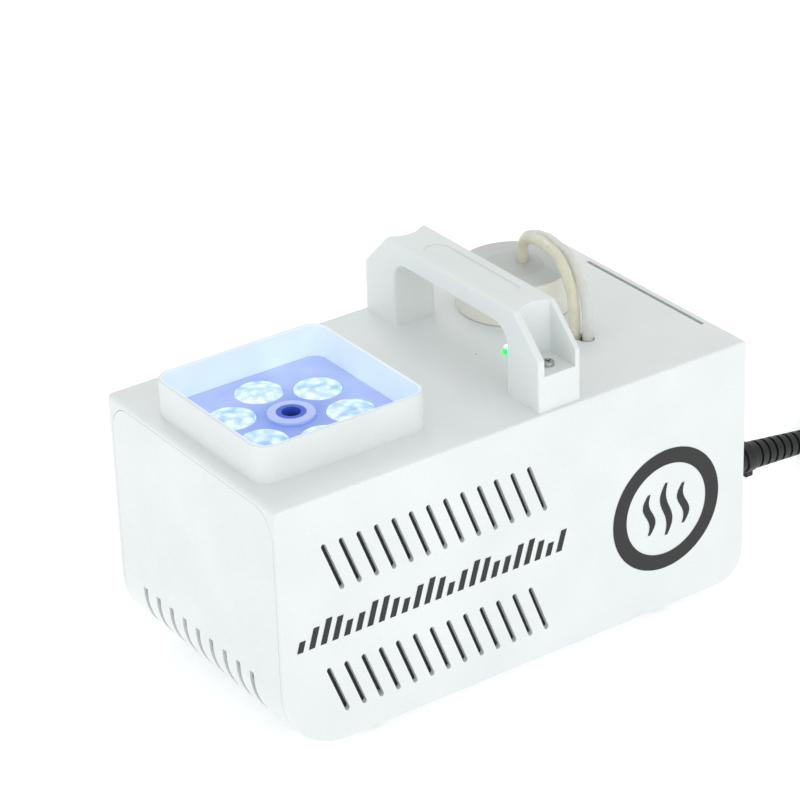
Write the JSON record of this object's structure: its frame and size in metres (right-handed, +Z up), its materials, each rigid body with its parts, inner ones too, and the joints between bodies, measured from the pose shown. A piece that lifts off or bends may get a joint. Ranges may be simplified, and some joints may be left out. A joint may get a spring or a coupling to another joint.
{
  "type": "fog machine",
  "caption": "Vertical fog machine: white sheet-steel housing, square light ring round the outlet, bridge handle, capped fluid tank with two clear hoses and a mains lead.",
  "frame": {"origin": "centre of the underside of the feet, rear fittings included, mains lead left out", "axes": "+X along the length from the light ring to the rear panel, +Y across the width towards the tank, +Z up"},
  "size_m": [0.4615, 0.145, 0.1618],
  "materials": {
    "white_paint": "satin powder coat",
    "white_plastic": "satin moulded",
    "black_rubber": "matte",
    "steel": "zinc plated",
    "black_mesh": "matte",
    "lens_clear": "polished",
    "led": "lit",
    "board_white": "solder mask",
    "brass": "turned",
    "aluminium": "machined",
    "lagging": "woven glass fibre",
    "black_plastic": "fine texture",
    "tank_plastic": "blow moulded",
    "cap_cream": "satin",
    "cap_grey": "satin",
    "hose_clear": "translucent silicone",
    "board_green": "solder mask",
    "rocker_black": "polished",
    "fuse_glass": "polished",
    "lamp_green": "lit",
    "cord_black": "satin",
    "pin_nickel": "nickel plated"
  },
  "bodies": {
    "housing": {"cover": "white_paint", "chassis": "white_paint", "feet": "black_rubber", "cover_screws": "steel", "vent_screens": "black_mesh", "handle": "white_plastic", "handle_screws": "steel", "led_collar": "white_paint", "led_plate": "white_paint", "lens_1": "lens_clear", "lens_2": "lens_clear", "lens_3": "lens_clear", "lens_4": "lens_clear", "lens_5": "lens_clear", "lens_6": "lens_clear", "led_board": "board_white", "led_chips": "led", "led_standoffs": "brass", "nozzle_ring": "white_plastic", "nozzle": "brass", "heater_block": "aluminium", "heater_element": "steel", "heater_insulation": "lagging", "heater_bracket": "steel", "heater_inlet": "brass", "thermostat": "black_plastic", "thermal_fuse": "aluminium", "pump_coil": "black_plastic", "pump_core": "steel", "pump_yoke": "steel", "pump_spring": "pin_nickel", "pump_head": "black_plastic", "pump_bracket": "black_rubber", "tank": "tank_plastic", "tank_strap": "steel", "cap_insert": "cap_grey", "feed_hose": "hose_clear", "return_hose": "hose_clear", "heater_hose": "hose_clear", "tank_filter": "brass", "control_board": "board_green", "board_parts": "black_plastic", "board_standoffs": "black_plastic", "led_driver": "aluminium", "switch_body": "black_plastic", "fuse_holder": "black_plastic", "indicator_lamp": "lamp_green", "cord_gland": "black_plastic", "strain_relief": "black_rubber", "power_cord": "cord_black", "cord_tail": "cord_black", "cord_coil": "cord_black", "plug_body": "black_rubber", "plug_pins": "pin_nickel"},
    "cap": {"tank_cap": "cap_cream", "cap_liner": "black_rubber"},
    "rocker": {"switch_rocker": "rocker_black"},
    "carrier": {"fuse_carrier": "black_plastic", "fuse_cartridge": "fuse_glass"},
    "piston": {"pump_piston": "steel"}
  },
  "joints": [
    {"name": "cap_turn", "type": "hinge", "parent": "housing", "child": "cap", "pos_m": [0.0623, 0.0284, 0.1393], "axis": [0, 0, 1], "range_deg": [0, 360]},
    {"name": "switch_rock", "type": "hinge", "parent": "housing", "child": "rocker", "pos_m": [0.118, -0.014, 0.086], "axis": [0, 1, 0], "range_deg": [0, 20]},
    {"name": "fuse_turn", "type": "hinge", "parent": "housing", "child": "carrier", "pos_m": [0.118, -0.014, 0.056], "axis": [1, 0, 0], "range_deg": [0, 45]},
    {"name": "pump_stroke", "type": "slide", "parent": "housing", "child": "piston", "axis": [0, 0, 1], "range_m": [0, 0.003], "stiffness_N_per_m": 300, "deforming": ["pump_spring"]}
  ]
}
